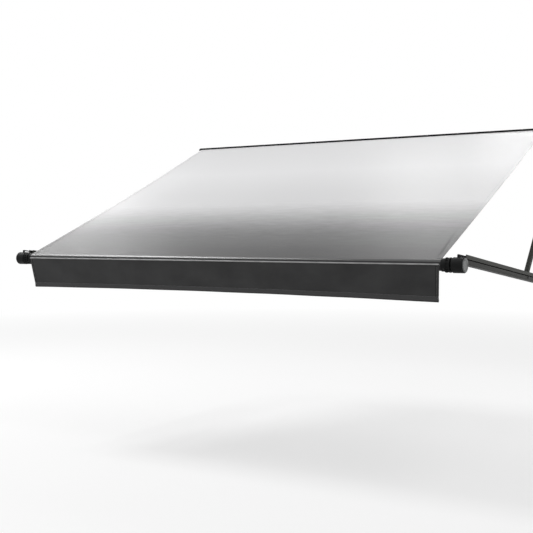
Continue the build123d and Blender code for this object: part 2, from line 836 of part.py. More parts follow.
# End caps: a sleeve over the tube with two flanges and ribs between them
rib_from = cap_start + cap_collar + cap_flange
rib_length = cap_length - cap_collar - 2 * cap_flange
for side, sign in sides:
    with BuildPart() as end_cap:
        with BuildSketch(axis_plane(sign * cap_start, sign)):
            Circle(cap_core_radius)
        extrude(amount=cap_length)
        for flange_start in (cap_start + cap_collar, cap_end - cap_flange):
            with BuildSketch(axis_plane(sign * flange_start, sign)):
                Circle(cap_flange_radius)
            extrude(amount=cap_flange)
        with BuildSketch(axis_plane(sign * rib_from, sign)):
            with PolarLocations(cap_core_radius, cap_ribs):
                Rectangle(2 * (cap_rib_radius - cap_core_radius), cap_rib_width)
        extrude(amount=rib_length)
        with BuildSketch(axis_plane(sign * (cap_start - cut_over), sign)):
            Circle(tube_radius + fit_gap)
        extrude(amount=cap_overlap + cut_over, mode=Mode.SUBTRACT)
        with BuildSketch(axis_plane(sign * (cap_end - cap_web), sign)):
            Circle(tube_radius)
            Circle(cap_hub_radius, mode=Mode.SUBTRACT)
            with PolarLocations(tube_radius / 2, cap_screws):
                Rectangle(tube_radius, cap_rib_width, mode=Mode.SUBTRACT)
        extrude(amount=cap_web / 2, mode=Mode.SUBTRACT)
        with BuildSketch(axis_plane(sign * shaft_root, sign)):
            Circle(cap_hub_radius)
        extrude(amount=cap_end - cap_web - shaft_root)
        with BuildSketch(axis_plane(sign * shaft_root, sign)):
            Circle(shaft_radius)
        extrude(amount=cap_length, mode=Mode.SUBTRACT)
        for seat in cap_screw_seats(sign):
            with BuildSketch(seat):
                Circle(cap_screw_radius)
            extrude(amount=-cap_screw_head_radius, mode=Mode.SUBTRACT)
    save(end_cap, side + "_end_cap")


# Beads in the tube's grooves, and the canopy that lies on the tube
def slot_centre(angle):
    """y and z of the middle of a bead groove."""
    return (
        roller_y + slot_ring * cos(radians(angle)),
        roller_z + slot_ring * sin(radians(angle)),
    )


for name, angle in (
    ("canopy_roller_bead", canopy_slot_angle),
    ("valance_bead", valance_slot_angle),
):
    with BuildPart() as bead:
        with BuildSketch(side_plane(0)):
            with Locations(slot_centre(angle)):
                Circle(tube_bead_radius)
        extrude(amount=half_canopy, both=True)
    save(bead, name)

wrap_from = 90 + canopy_fall
wrap_turn = canopy_slot_angle - wrap_from
tab_length = slot_depth - tube_bead_radius


def rim(radius, angle):
    """A point about the roller axis, in the plane across it."""
    return (radius * cos(radians(angle)), radius * sin(radians(angle)))


with BuildPart() as canopy_wrap:
    with BuildSketch(axis_plane(0)):
        with BuildLine():
            lower = ThreePointArc(
                *[rim(tube_radius, wrap_from + share * wrap_turn) for share in (0, 1 / 2, 1)]
            )
            upper = ThreePointArc(
                *[rim(tube_radius + cloth, wrap_from + share * wrap_turn) for share in (1, 1 / 2, 0)]
            )
            Line(lower @ 1, upper @ 0)
            Line(upper @ 1, lower @ 0)
        make_face()
        with Locations(Rotation(0, 0, canopy_slot_angle)):
            with Locations((tube_radius + cloth / 2, 0)):
                Rectangle(tab_length + cloth / 2, cloth, align=(Align.MAX, Align.CENTER))
    extrude(amount=half_canopy, both=True)
save(canopy_wrap, "canopy_wrap")

# Valance: leans in from its groove, with shallow waves that grow towards the hem
valance_y = roller_y - tube_radius - valance_clear - cloth
valance_top = roller_z + cloth / 2
wave_stations = 2 * valance_waves

with BuildPart() as valance:
    for station in range(wave_stations + 1):
        station_x = -half_canopy + canopy_width * station / wave_stations
        swing = valance_lean + (0, valance_wave, 0, -valance_wave)[station % 4]
        with BuildSketch(side_plane(station_x)):
            with BuildLine():
                Polyline(
                    (valance_y, valance_top),
                    (valance_y + cloth, valance_top),
                    (valance_y + cloth + swing, valance_top - valance_height),
                    (valance_y + swing, valance_top - valance_height),
                    close=True,
                )
            make_face()
    loft()
    with BuildSketch(Plane.XZ.offset(-valance_y - valance_height)):
        for edge in (-1, 1):
            with BuildLine():
                Polyline(
                    (edge * half_canopy, valance_top),
                    (edge * (half_canopy + cut_over), valance_top - valance_height - cut_over),
                    (edge * (half_canopy - valance_taper), valance_top - valance_height - cut_over),
                    close=True,
                )
            make_face()
    extrude(amount=2 * valance_height, mode=Mode.SUBTRACT)
    with BuildSketch(side_plane(0)):
        with Locations((valance_y + cloth / 2, roller_z)):
            Rectangle(
                valance_clear + cloth / 2 + tab_length, cloth, align=(Align.MIN, Align.CENTER)
            )
    extrude(amount=half_canopy, both=True)
save(valance, "valance")

# Screws: through the cap sleeves into the tube, and from each lug into the head below it
with BuildPart() as end_cap_screws:
    for seat in cap_screw_seats(-1) + cap_screw_seats(1):
        with BuildSketch(seat):
            Circle(cap_screw_head_radius)
        extrude(amount=cap_screw_head)
        with BuildSketch(seat):
            Circle(cap_screw_radius)
        extrude(amount=-(cap_core_radius - tube_radius + tube_wall))
save(end_cap_screws, "end_cap_screws")

with BuildPart() as head_clamp_screws:
    for _, sign in sides:
        with BuildSketch(clamp_plane(sign * arm_x)):
            Circle(clamp_screw_head_radius)
        extrude(amount=clamp_screw_head)
        with BuildSketch(clamp_plane(sign * arm_x)):
            Circle(clamp_screw_radius)
        extrude(amount=-clamp_depth)
save(head_clamp_screws, "head_clamp_screws")
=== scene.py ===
import bpy
import math
from mathutils import Matrix, Vector


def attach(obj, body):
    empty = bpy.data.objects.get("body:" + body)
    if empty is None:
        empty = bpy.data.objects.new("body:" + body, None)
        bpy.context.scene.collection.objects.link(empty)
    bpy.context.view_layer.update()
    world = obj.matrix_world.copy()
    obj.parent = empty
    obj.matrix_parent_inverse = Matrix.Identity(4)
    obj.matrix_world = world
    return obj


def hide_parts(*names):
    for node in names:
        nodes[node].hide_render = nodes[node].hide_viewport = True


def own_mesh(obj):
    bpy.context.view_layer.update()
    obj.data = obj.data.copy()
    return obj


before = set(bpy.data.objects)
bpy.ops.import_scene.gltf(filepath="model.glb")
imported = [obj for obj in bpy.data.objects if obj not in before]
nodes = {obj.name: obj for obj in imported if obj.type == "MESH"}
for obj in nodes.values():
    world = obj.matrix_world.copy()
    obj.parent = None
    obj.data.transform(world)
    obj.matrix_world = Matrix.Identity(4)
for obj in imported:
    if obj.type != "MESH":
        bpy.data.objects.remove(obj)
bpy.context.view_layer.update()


# Studio: a pale floor 2.68 m below the rail, soft lamps, and a camera at the eye height of a
# person who stands in front of the drive end. Floor and backdrop fade into one white.
def wire(tree, kind, feeds=(), settings=()):
    """A new node: feeds are values or sockets for its inputs, settings are its own options."""
    node = tree.nodes.new(kind)
    for name, value in settings:
        setattr(node, name, value)
    for name, value in feeds:
        if isinstance(value, bpy.types.NodeSocket):
            tree.links.new(value, node.inputs[name])
        else:
            node.inputs[name].default_value = value
    return node


def calc(tree, operation, *values):
    """One sum on numbers or sockets."""
    feeds = list(enumerate(values))
    return wire(tree, "ShaderNodeMath", feeds, [("operation", operation)]).outputs[0]


def measure(tree, operation, *vectors):
    """A number worked out from vectors, such as a length or a dot product."""
    feeds = list(enumerate(vectors))
    settings = [("operation", operation)]
    return wire(tree, "ShaderNodeVectorMath", feeds, settings).outputs["Value"]


def spread(tree, value, low, high, start=0.3, end=0.7):
    """The value's range from start to end, spread over low to high."""
    feeds = [
        ("Value", value),
        ("From Min", start),
        ("From Max", end),
        ("To Min", low),
        ("To Max", high),
    ]
    return wire(tree, "ShaderNodeMapRange", feeds).outputs[0]


def object_place(tree):
    """Each point's place in the shared frame, in metres."""
    return wire(tree, "ShaderNodeTexCoord").outputs["Object"]


def background_rays(tree):
    """1 for the rays that show the background: seen, mirrored or through glass."""
    path = wire(tree, "ShaderNodeLightPath")
    total = path.outputs["Is Camera Ray"]
    for ray in ("Is Glossy Ray", "Is Transmission Ray"):
        total = calc(tree, "MAXIMUM", total, path.outputs[ray])
    return total


def grey(level):
    """A neutral colour."""
    return (level, level, level)


def new_finish(name, colour, roughness, metallic=0.0, gloss=0.5):
    """A material, its node tree and its shader, with one colour to start from."""
    material = bpy.data.materials.new(name)
    material.use_nodes = True
    shader = material.node_tree.nodes["Principled BSDF"]
    shader.inputs["Base Color"].default_value = (*colour, 1)
    shader.inputs["Roughness"].default_value = roughness
    shader.inputs["Metallic"].default_value = metallic
    shader.inputs["Specular IOR Level"].default_value = gloss
    return material, material.node_tree, shader


rail_height = 2.68
floor_half = 40.0
fade_from, fade_to = 5.0, 14.0          # metres from below the rail's middle
fade_low, fade_high = 0.55, 1.0         # share of plain white there
page_white = [("Color", (1, 1, 1, 1)), ("Strength", 1.0)]
bpy.ops.object.select_all(action="DESELECT")
bpy.ops.mesh.primitive_plane_add(size=2 * floor_half, location=(0, 0, -rail_height))
bpy.ops.object.transform_apply(location=True)
floor = bpy.context.object
floor.name = "floor"
floor_paint, tree, matt = new_finish("pale floor", grey(0.88), roughness=0.9)
away = measure(tree, "LENGTH", object_place(tree))
faded = spread(tree, away, fade_low, fade_high, fade_from, fade_to)
share = calc(tree, "MULTIPLY", faded, background_rays(tree))
page = wire(tree, "ShaderNodeEmission", page_white)
feeds = [("Fac", share), (1, matt.outputs[0]), (2, page.outputs[0])]
blend_in = wire(tree, "ShaderNodeMixShader", feeds)
tree.links.new(blend_in.outputs[0], tree.nodes["Material Output"].inputs["Surface"])
floor.data.materials.append(floor_paint)

scene = bpy.context.scene
scene.view_settings.view_transform = "Standard"
soft_light_strength = 0.5
world = bpy.data.worlds.new("studio")
scene.world = world
world.use_nodes = True
tree = world.node_tree
soft_light = tree.nodes["Background"]
soft_light.inputs["Color"].default_value = (1, 1, 1, 1)
soft_light.inputs["Strength"].default_value = soft_light_strength
page = wire(tree, "ShaderNodeBackground", page_white)
feeds = [("Fac", background_rays(tree)), (1, soft_light.outputs[0]), (2, page.outputs[0])]
choice = wire(tree, "ShaderNodeMixShader", feeds)
tree.links.new(choice.outputs[0], tree.nodes["World Output"].inputs["Surface"])

# Each lamp: its name, its place, where it shines, its side in metres and its power in watts.
lamps = (
    ("sun_side_lamp", (3.7, -3.9, 3.8), (0.4, -1.3, -0.8), 1.8, 71),
    ("left_lamp", (-7.7, -2.8, 7.9), (-0.6, -2.5, -1.1), 3.0, 710),
    ("back_left_lamp", (-6.7, 1.5, 3.0), (-1.6, -1.8, -0.8), 2.2, 80),
    ("back_lamp", (-0.15, 0.9, 2.4), (1.75, -2.2, -0.95), 0.9, 20),
    ("far_back_lamp", (0.45, 3.4, 2.9), (1.7, -0.6, -0.3), 1.1, 38),
)
for name, place, aim, side_length, power in lamps:
    lamp = bpy.data.objects.new(name, bpy.data.lights.new(name, "AREA"))
    scene.collection.objects.link(lamp)
    lamp.data.size = side_length
    lamp.data.energy = power
    lamp.location = place
    lamp.rotation_euler = (Vector(aim) - Vector(place)).to_track_quat("-Z", "Y").to_euler()

photo_width = 533
focal_pixels = 938
horizon_row = 237
camera_turn = 31.42                     # degrees between the view and the wall's normal
camera = bpy.data.objects.new("camera", bpy.data.cameras.new("camera"))
scene.collection.objects.link(camera)
scene.camera = camera
camera.location = (4.0705, -8.348, -0.947)
camera.rotation_euler = (math.pi / 2, 0, math.radians(camera_turn))
camera.data.sensor_width = 36
camera.data.lens = focal_pixels / photo_width * camera.data.sensor_width
camera.data.shift_y = (horizon_row - photo_width / 2) / photo_width


# Awning rail: an aluminium extrusion painted black, whose groove grips the canopy's bead. It is
# screwed along the top of the wall, and a moulded plastic cap is pushed on each end.
def drawn_noise(tree, scale, turn=(0, 0, 0), detail=3.0):
    """Noise on the piece's own metres, with one scale or its own scale along each axis."""
    scales = scale if isinstance(scale, tuple) else (scale, scale, scale)
    feeds = [("Vector", object_place(tree)), ("Rotation", turn)]
    turned = wire(tree, "ShaderNodeMapping", feeds)
    feeds = [("Vector", turned.outputs[0]), ("Scale", scales)]
    scaled = wire(tree, "ShaderNodeMapping", feeds)
    feeds = [("Vector", scaled.outputs[0]), ("Scale", 1.0), ("Detail", detail)]
    return wire(tree, "ShaderNodeTexNoise", feeds).outputs["Fac"]


def blend_colours(tree, share, first, second, blend="MIX"):
    """The first colour where share is 0, the second, or the two blended, where it is 1."""
    settings = [("data_type", "RGBA"), ("blend_type", blend)]
    mix = wire(tree, "ShaderNodeMix", [("Factor", share)], settings)
    for socket, colour in ((mix.inputs[6], first), (mix.inputs[7], second)):
        if isinstance(colour, bpy.types.NodeSocket):
            tree.links.new(colour, socket)
        else:
            socket.default_value = (*colour, 1)
    return mix.outputs[2]


def rounded_edges(tree, radius, flat=0.98, sharp=0.8):
    """Normal of the piece with its edges rounded, and 1 on those edges and 0 elsewhere."""
    settings = [("samples", 4)]
    soft = wire(tree, "ShaderNodeBevel", [("Radius", radius)], settings).outputs[0]
    hard = wire(tree, "ShaderNodeNewGeometry").outputs["Normal"]
    return soft, spread(tree, measure(tree, "DOT_PRODUCT", soft, hard), 0, 1, flat, sharp)


def rubbed_edges(tree, radius, rub_scale=160, rub_from=0.35, rub_to=0.6):
    """Normal of the piece with its edges rounded, and 1 where those edges are rubbed bare."""
    soft, edge = rounded_edges(tree, radius)
    rubbed = spread(tree, drawn_noise(tree, rub_scale), 0, 1, rub_from, rub_to)
    return soft, calc(tree, "MULTIPLY", edge, rubbed)


def raise_surface(tree, height, depth, under=None):
    """A bump of this depth in metres, over another normal if one is given."""
    feeds = [("Height", height), ("Distance", depth)]
    if under is not None:
        feeds.append(("Normal", under))
    return wire(tree, "ShaderNodeBump", feeds).outputs[0]


def join_shader(tree, shader, colour, normal, roughness=None):
    """Links what a finish has worked out to its shader."""
    tree.links.new(colour, shader.inputs["Base Color"])
    tree.links.new(normal, shader.inputs["Normal"])
    if roughness is not None:
        tree.links.new(roughness, shader.inputs["Roughness"])


def metal_finish(name, colour, worn, roughness, along, turn=(0, 0, 0), metallic=0.0, gloss=0.3):
    """Drawn aluminium or steel: fine die lines along the piece, worn and rounded edges."""
    cloud_scale = 9
    dark_share, pale_share = 0.86, 1.12
    smoother, rougher = 0.07, 0.09
    edge_radius, line_depth = 0.0009, 0.00006
    material, tree, shader = new_finish(name, colour, roughness, metallic, gloss)
    lines = drawn_noise(tree, along, turn, detail=2.0)
    cloudy = drawn_noise(tree, cloud_scale)
    soft, wear = rubbed_edges(tree, edge_radius)
    dark = [dark_share * part for part in colour]
    pale = [pale_share * part for part in colour]
    body = blend_colours(tree, spread(tree, lines, 0, 1), dark, pale)
    body = blend_colours(tree, wear, body, worn)
    rough = spread(tree, cloudy, roughness - smoother, roughness + rougher)
    join_shader(tree, shader, body, raise_surface(tree, lines, line_depth, soft), rough)
    return material


def moulded_finish(name, colour, roughness, grain, gloss=0.5):
    """Moulded plastic: a fine sparked grain, faint flow marks and softly rounded edges."""
    flow_scale = (14, 14, 30)
    dark_share, pale_share, pale_lift = 0.82, 1.25, 0.002
    edge_share, edge_lift = 1.5, 0.012
    smoother, rougher = 0.08, 0.1
    edge_radius, grain_depth = 0.0012, 0.00008
    material, tree, shader = new_finish(name, colour, roughness, gloss=gloss)
    flow = drawn_noise(tree, flow_scale)
    speck = drawn_noise(tree, grain, detail=1.0)
    soft, edge = rounded_edges(tree, edge_radius)
    dark = [dark_share * part for part in colour]
    pale = [pale_share * part + pale_lift for part in colour]
    edge_colour = [edge_share * part + edge_lift for part in colour]
    body = blend_colours(tree, spread(tree, flow, 0, 1), dark, pale)
    body = blend_colours(tree, edge, body, edge_colour)
    rough = spread(tree, speck, roughness - smoother, roughness + rougher)
    join_shader(tree, shader, body, raise_surface(tree, speck, grain_depth, soft), rough)
    return material


def dress(material, *names):
    """Gives frame nodes this material in every slot."""
    for name in names:
        for place in nodes[name].material_slots:
            place.material = material


rail_paint = metal_finish(
    "black painted rail",
    colour=(0.004, 0.004, 0.0045),
    worn=grey(0.03),
    roughness=0.6,
    along=(1.5, 700, 700),
    gloss=0.06,
)
dress(rail_paint, "awning_rail")
head_plastic = moulded_finish(
    "black moulded plastic",
    colour=(0.007, 0.0075, 0.0075),
    roughness=0.5,
    grain=1400,
    gloss=0.1,
)
dress(head_plastic, "rail_end_caps")


# Wall channels and brackets: each channel is a charcoal aluminium extrusion, screwed upright to
# the wall. The two brackets on its floor are bent steel plates with a black powder coat.
charcoal = (0.05, 0.051, 0.046)
charcoal_worn = (0.3, 0.3, 0.29)
coat_black = (0.01, 0.01, 0.011)
coat_edge = (0.05, 0.05, 0.048)
coat_smooth, coat_rough = 0.45, 0.62
peel_scale = 520
peel_depth = 0.00012
channel_metal = metal_finish(
    "charcoal channel",
    charcoal,
    charcoal_worn,
    roughness=0.5,
    along=(900, 900, 1.5),
    gloss=0.1,
)
dress(channel_metal, "left_wall_channel", "right_wall_channel")
powder_coat, tree, shader = new_finish(
    "black powder coat", coat_black, roughness=0.55, gloss=0.12
)
peel = drawn_noise(tree, peel_scale, detail=1.0)
soft, edge = rounded_edges(tree, radius=0.001)
body = blend_colours(tree, edge, coat_black, coat_edge)
rough = spread(tree, peel, coat_smooth, coat_rough)
join_shader(tree, shader, body, raise_surface(tree, peel, peel_depth, soft), rough)
for side in ("left", "right"):
    dress(powder_coat, side + "_top_bracket", side + "_bottom_bracket")


# Pins, bolts and shafts: turned steel. The pins of the wall brackets and the shafts in the heads
# are zinc plated and tumbled. The elbow pins and knee bolts of the arms are blackened.
zinc = (0.5, 0.5, 0.48)
zinc_dull = (0.42, 0.41, 0.38)
zinc_bright = (0.58, 0.59, 0.6)
zinc_smooth, zinc_rough = 0.26, 0.42
bloom_scale = 120
plated_steel, tree, shader = new_finish(
    "zinc plated steel", zinc, roughness=0.32, metallic=1.0
)
bloom = drawn_noise(tree, bloom_scale)
soft, edge = rounded_edges(tree, radius=0.0005)
body = blend_colours(tree, spread(tree, bloom, 0, 1), zinc_dull, zinc_bright)
join_shader(tree, shader, body, soft, spread(tree, bloom, zinc_smooth, zinc_rough))
black_steel = metal_finish(
    "blackened steel",
    colour=grey(0.03),
    worn=(0.16, 0.16, 0.155),
    roughness=0.45,
    along=(300, 300, 300),
    metallic=0.4,
)
dress(plated_steel, "strut_pivot_pins", "link_pivot_pins", "drive_shaft", "idler_shaft")
dress(black_steel, "elbow_pins", "knee_bolts")


# Struts and lower links: square charcoal aluminium tubes. A cast eye with a black powder coat is
# pressed into each end, and pale moulded acetal bushes in the eyes run on the pins.
strut_pivot, knee = (-0.062, -0.287), (-0.9958, -1.2662)     # Y and Z of the open awning
link_pivot, elbow = (-0.03, -1.246), (-0.7089, -1.2659)
strut_slope = math.atan2(strut_pivot[1] - knee[1], strut_pivot[0] - knee[0])
link_slope = math.atan2(link_pivot[1] - elbow[1], link_pivot[0] - elbow[0])
strut_metal, link_metal = [
    metal_finish(
        name,
        charcoal,
        charcoal_worn,
        roughness=0.5,
        along=(900, 1.5, 900),
        turn=(-slope, 0, 0),
        gloss=0.1,
    )
    for name, slope in (("charcoal strut", strut_slope), ("charcoal link", link_slope))
]
acetal = moulded_finish("pale acetal", colour=(0.55, 0.54, 0.5), roughness=0.45, grain=900)
for side in ("left", "right"):
    dress(strut_metal, side + "_strut")
    dress(link_metal, side + "_lower_link")
    dress(powder_coat, side + "_strut_top_eye", side + "_strut_knee_eye")
    dress(powder_coat, side + "_link_wall_eye", side + "_link_elbow_eye")
dress(acetal, "strut_bushes", "link_bushes", "elbow_washers", "drive_bearing", "idler_bearing")


# Main arms: charcoal aluminium channels, open on top, extruded with one deep groove along each
# side. The groove's floor is painted near black as shade, and the strip along the lower edge
# is darker.
arm_slope = math.radians(6.34)
arm_middle = 1.962
arm_half_width = 0.024
groove_depth = 0.0024
groove_reach = 0.0006
lower_edge, body_edge = -1.3555, -1.3525     # metres up, square to the arm
die_line_depth = 0.00006
arm_dark = (0.03, 0.031, 0.027)
arm_pale = (0.052, 0.053, 0.047)
arm_underside = (0.024, 0.0245, 0.022)
groove_painted_shade = grey(0.002)
arm_smooth, arm_rough = 0.42, 0.55
arm_metal, tree, shader = new_finish("charcoal arm", charcoal, roughness=0.5, gloss=0.1)
spot = object_place(tree)
parts = wire(tree, "ShaderNodeSeparateXYZ", [("Vector", spot)])
from_middle = calc(tree, "ABSOLUTE", parts.outputs["X"])
sideways = calc(tree, "ABSOLUTE", calc(tree, "SUBTRACT", from_middle, arm_middle))
groove_floor = arm_half_width - groove_depth
in_groove = calc(tree, "COMPARE", sideways, groove_floor, groove_reach)
lines = drawn_noise(tree, (300, 1.2, 300), (arm_slope, 0, 0), detail=2.0)
soft, wear = rubbed_edges(tree, radius=0.0009)
upright = (0, math.sin(arm_slope), math.cos(arm_slope))
height = measure(tree, "DOT_PRODUCT", spot, upright)
body = blend_colours(tree, spread(tree, lines, 0, 1), arm_dark, arm_pale)
body = blend_colours(tree, spread(tree, height, 1, 0, lower_edge, body_edge), body, arm_underside)
body = blend_colours(tree, wear, body, charcoal_worn)
# Painted shade: the groove's floor is coloured near black in place of the shadow inside the slot.
body = blend_colours(tree, in_groove, body, groove_painted_shade)
rough = calc(tree, "MAXIMUM", spread(tree, lines, arm_smooth, arm_rough), in_groove)
join_shader(tree, shader, body, raise_surface(tree, lines, die_line_depth, soft), rough)
dress(arm_metal, "left_main_arm", "right_main_arm")


# Head brackets: castings with a black powder coat, plugged into the roller ends of the arms.
# The tongue of each one reaches over its head, and plated screws clamp it there.
dress(powder_coat, "left_head_bracket", "right_head_bracket")
dress(plated_steel, "head_clamp_screws")


# Heads: black moulded drums at the roller ends, each closed by a dished grey cover that is
# screwed on. The right-hand head holds the gear motor in its steel case, and each head carries
# the roller on a bearing.
to_roller_axis = (0, 2.505, 1.13)
ring_depth = 0.00004
cover_dark = (0.125, 0.129, 0.13)
cover_pale = (0.155, 0.16, 0.16)
cover_scuffed = (0.22, 0.226, 0.226)
cover_rim_highlight = (0.42, 0.43, 0.42)
scuff_scale = 110
scuff_from, scuff_to, scuff_share = 0.5, 0.65, 0.5
dress(head_plastic, "drive_head_housing", "idler_head_housing")
cover_grey, tree, shader = new_finish(
    "grey cover", cover_pale, roughness=0.42, metallic=0.3
)
feeds = [("Vector", object_place(tree)), ("Location", to_roller_axis)]
centred = wire(tree, "ShaderNodeMapping", feeds)
rings = wire(
    tree,
    "ShaderNodeTexWave",
    [("Vector", centred.outputs[0]), ("Scale", 120), ("Distortion", 1.5), ("Detail", 2)],
    [("wave_type", "RINGS"), ("rings_direction", "X")],
).outputs["Fac"]
soft, edge = rounded_edges(tree, radius=0.001)
scuffs = spread(tree, drawn_noise(tree, scuff_scale), 0, scuff_share, scuff_from, scuff_to)
body = blend_colours(tree, spread(tree, rings, 0, 1, 0, 1), cover_dark, cover_pale)
body = blend_colours(tree, scuffs, body, cover_scuffed)
# Painted highlight: the cover's rounded rim edges are coloured pale, as light catching them.
body = blend_colours(tree, edge, body, cover_rim_highlight)
join_shader(tree, shader, body, raise_surface(tree, rings, ring_depth, soft))
dress(cover_grey, "drive_head_cover", "idler_head_cover")
dress(black_steel, "head_cover_screws")
motor_steel = metal_finish(
    "motor steel",
    colour=(0.3, 0.3, 0.31),
    worn=grey(0.5),
    roughness=0.35,
    along=(3, 400, 400),
    metallic=0.9,
)
dress(motor_steel, "drive_motor", "drive_gearbox")


# Roller: an aluminium tube painted black, extruded with a bead slot for each cloth. A ribbed
# plastic cap closes each end and is screwed through its sleeve.
tube_paint = metal_finish(
    "black painted tube",
    colour=(0.016, 0.016, 0.017),
    worn=grey(0.07),
    roughness=0.4,
    along=(1.5, 700, 700),
)
dress(tube_paint, "roller_tube")
dress(head_plastic, "left_end_cap", "right_end_cap")
dress(black_steel, "end_cap_screws")


# Beads: extruded plastic cords, welded into the edges of the cloths. They slide into the rail's
# groove and the roller's slots from the end, and hold the cloths there.
bead_plastic = moulded_finish(
    "white bead cord", colour=(0.62, 0.62, 0.6), roughness=0.5, grain=700
)
dress(bead_plastic, "canopy_rail_bead", "canopy_roller_bead", "valance_bead")


# Canopy: one sheet of coated cloth, held by its bead in the rail and stretched to the top of the
# roller. Its printed colour fades from white at the rail to grey at the roller, and a soft
# crease runs beside its drive side edge, with its line painted darker as shade.
canopy_half = 1.85
rail_line = Vector((0, -0.0142, -0.002))
roller_line = Vector((0, -2.5209, -1.0926))
down_slope = roller_line - rail_line
canopy_run = down_slope.length
off_slope = Vector((0, down_slope.z, -down_slope.y)).normalized()
canopy_columns, canopy_rows = 102, 56
coarse_columns, creased_width = 80, 0.13     # narrow columns lie beside the drive side edge
canopy_sag = 0.014
cloth = 0.0012
edge_pull = 0.006
broad_wave, broad_rate, broad_start = 0.0022, 2.1, 0.6
small_wave, small_rate, small_start, small_slant = 0.0012, 5.3, 2.0, 2.2
crease_start = 0.026
crease_spread = 0.2
crease_half_width = 0.018
crease_depth = 0.0034
crease_rise, crease_fall, crease_top = 0.04, 0.13, 0.18     # shares up from the roller
crease_painted_shade = grey(0.012)


def laid_grid(name, width, length, columns, rows, middle):
    """A flat grid on the ground plane, width along X and length along Y, ready to be hung."""
    bpy.ops.object.select_all(action="DESELECT")
    bpy.ops.mesh.primitive_grid_add(
        x_subdivisions=columns, y_subdivisions=rows, size=1, location=(*middle, 0)
    )
    sheet = bpy.context.object
    sheet.name = sheet.data.name = name
    sheet.scale = (width, length, 1)
    bpy.ops.object.transform_apply(location=True, scale=True)
    return sheet


def crease_sag(across, height):
    """Depth of the crease, height as a share up from the roller."""
    line = canopy_half - crease_start - crease_spread * height
    off = min(abs(across - line) / crease_half_width, 1)
    fading = (crease_top - height) / crease_fall
    strength = min(max(height / crease_rise, 0), max(fading, 0), 1)
    return crease_depth * strength * math.cos(math.pi / 2 * off) ** 2


def on_canopy(across, down, lift):
    """Place on the hung canopy of a point of the flat cloth, down in metres from the rail."""
    share = min(max(down / canopy_run, 0), 1)
    swell = math.sin(math.pi * share)
    sag = 4 * canopy_sag * share * (1 - share) + crease_sag(across, 1 - share)
    sag -= broad_wave * swell * math.sin(broad_rate * across + broad_start)
    turn = small_rate * across + small_start + small_slant * share
    sag -= small_wave * swell * math.sin(turn)
    pull = edge_pull * swell * (across / canopy_half)
    place = rail_line + down_slope * (down / canopy_run) + off_slope * (lift - sag)
    return Vector((across - pull, place.y, place.z))


def pick(*pieces):
    """Selects these pieces alone, with the last one active."""
    bpy.ops.object.select_all(action="DESELECT")
    for piece in pieces:
        piece.select_set(True)
        bpy.context.view_layer.objects.active = piece


def add_modifier(piece, kind, **options):
    """Adds a modifier with these options and applies it."""
    pick(piece)
    modifier = piece.modifiers.new(kind.lower(), kind)
    for name, value in options.items():
        setattr(modifier, name, value)
    bpy.ops.object.modifier_apply(modifier=modifier.name)


def smooth(piece, angle=40):
    """Smooth shading with hard edges above this angle."""
    pick(piece)
    bpy.ops.object.shade_smooth_by_angle(angle=math.radians(angle))


def hang_cloth(piece, placer, material):
    """Moves a piece, laid flat with its top edge on y = 0, to its hung place."""
    for point in piece.data.vertices:
        point.co = placer(point.co.x, -point.co.y, point.co.z)
    piece.data.update()
    piece.data.materials.append(material)


def map_cloth(piece, half_width, length):
    """Writes the piece's UV map from its flat shape: across from 0 to 1, and 1 at the top."""
    uv = piece.data.uv_layers.active or piece.data.uv_layers.new(name="UVMap")
    for loop in piece.data.loops:
        flat = piece.data.vertices[loop.vertex_index].co
        uv.data[loop.index].uv = (0.5 + flat.x / (2 * half_width), 1 + flat.y / length)


def make_up(piece, half_width, length, placer, material, thickness, **options):
    """Maps and hangs a flat sheet, gives it its thickness and smooths it."""
    map_cloth(piece, half_width, length)
    hang_cloth(piece, placer, material)
    add_modifier(piece, "SOLIDIFY", thickness=thickness, offset=0, **options)
    smooth(piece)


def flat_place(tree):
    """A cloth's UV map, and its parts X across and Y up from the lower edge."""
    flat = wire(tree, "ShaderNodeTexCoord").outputs["UV"]
    parts = wire(tree, "ShaderNodeSeparateXYZ", [("Vector", flat)])
    return flat, parts.outputs["X"], parts.outputs["Y"]


def flat_pattern(tree, kind, flat, across, down, feeds=()):
    """A noise or checker pattern on the UV map, with its own scale across and down."""
    mapping_feeds = [("Vector", flat), ("Scale", (across, down, 1))]
    scaled = wire(tree, "ShaderNodeMapping", mapping_feeds).outputs[0]
    return wire(tree, kind, [("Vector", scaled), ("Scale", 1), *feeds]).outputs["Fac"]


